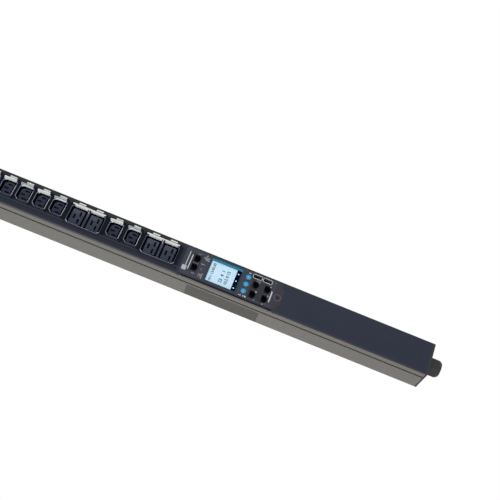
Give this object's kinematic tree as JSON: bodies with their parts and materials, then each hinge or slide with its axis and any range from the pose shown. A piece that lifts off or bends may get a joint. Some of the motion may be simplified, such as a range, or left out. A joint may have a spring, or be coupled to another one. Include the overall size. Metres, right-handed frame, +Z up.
{
  "type": "rack power distribution unit",
  "caption": "Slim upright power strip for an equipment rack: extruded channel, keyed outlets in a row, and a controller module with display, keys and data ports.",
  "frame": {"origin": "on the back face at the lower mounting button's axis", "axes": "+Z up the rack along the unit, -Y out of the outlet face, +X to the right of someone facing the outlets"},
  "size_m": [0.055, 0.0624, 0.9812],
  "materials": {
    "chassis": "satin",
    "cover": "satin",
    "end_plastic": "matt",
    "outlet_plastic": "fine matt",
    "contact_brass": "plain",
    "bar_copper": "plain",
    "insulator": "matt",
    "core": "matt",
    "steel": "zinc",
    "dark_screw": "black",
    "gland_plastic": "matt",
    "seal_rubber": "matt",
    "panel_plastic": "fine matt",
    "board": "solder mask",
    "window": "clear",
    "display": "lit",
    "key_plastic": "lit",
    "switch": "matt",
    "jack_plastic": "matt",
    "light": "lit",
    "shell": "plated"
  },
  "bodies": {
    "unit": {"chassis_channel": "chassis", "front_cover": "cover", "end_cap_top": "end_plastic", "end_cap_bottom": "end_plastic", "end_cap_screws": "steel", "c13_outlet_01": "outlet_plastic", "c13_outlet_02": "outlet_plastic", "c13_outlet_03": "outlet_plastic", "c13_outlet_04": "outlet_plastic", "c13_outlet_05": "outlet_plastic", "c13_outlet_06": "outlet_plastic", "c13_outlet_07": "outlet_plastic", "c13_outlet_08": "outlet_plastic", "c13_outlet_09": "outlet_plastic", "c13_outlet_10": "outlet_plastic", "c13_outlet_11": "outlet_plastic", "c13_outlet_12": "outlet_plastic", "c13_outlet_13": "outlet_plastic", "c13_outlet_14": "outlet_plastic", "c19_outlet_pair_1": "outlet_plastic", "c19_outlet_pair_2": "outlet_plastic", "line_contacts": "contact_brass", "line_busbar": "bar_copper", "neutral_contacts": "contact_brass", "neutral_busbar": "bar_copper", "earth_contacts": "contact_brass", "earth_busbar": "bar_copper", "busbar_supports": "insulator", "current_sensor": "core", "terminal_block": "insulator", "terminal_screws": "steel", "gland_body": "gland_plastic", "gland_seal": "seal_rubber", "gland_nut": "gland_plastic", "gland_locknut": "gland_plastic", "mounting_button_lower": "steel", "mounting_button_upper": "steel", "mounting_nuts": "steel", "controller_housing": "panel_plastic", "controller_board": "board", "board_screws": "steel", "display_window": "window", "display_panel": "display", "key_switches": "switch", "sensor_jack": "jack_plastic", "network_jack": "jack_plastic", "port_lights": "light", "usb_ports": "shell", "captive_screw": "dark_screw"},
    "key_left": {"key_left": "key_plastic"},
    "key_middle": {"key_middle": "key_plastic"},
    "key_right": {"key_right": "key_plastic"}
  },
  "joints": [
    {"name": "key_left_press", "type": "slide", "parent": "unit", "child": "key_left", "axis": [0, 1, 0], "range_m": [0, 0.0008], "stiffness_N_per_m": 1500},
    {"name": "key_middle_press", "type": "slide", "parent": "unit", "child": "key_middle", "axis": [0, 1, 0], "range_m": [0, 0.0008], "stiffness_N_per_m": 1500},
    {"name": "key_right_press", "type": "slide", "parent": "unit", "child": "key_right", "axis": [0, 1, 0], "range_m": [0, 0.0008], "stiffness_N_per_m": 1500}
  ]
}
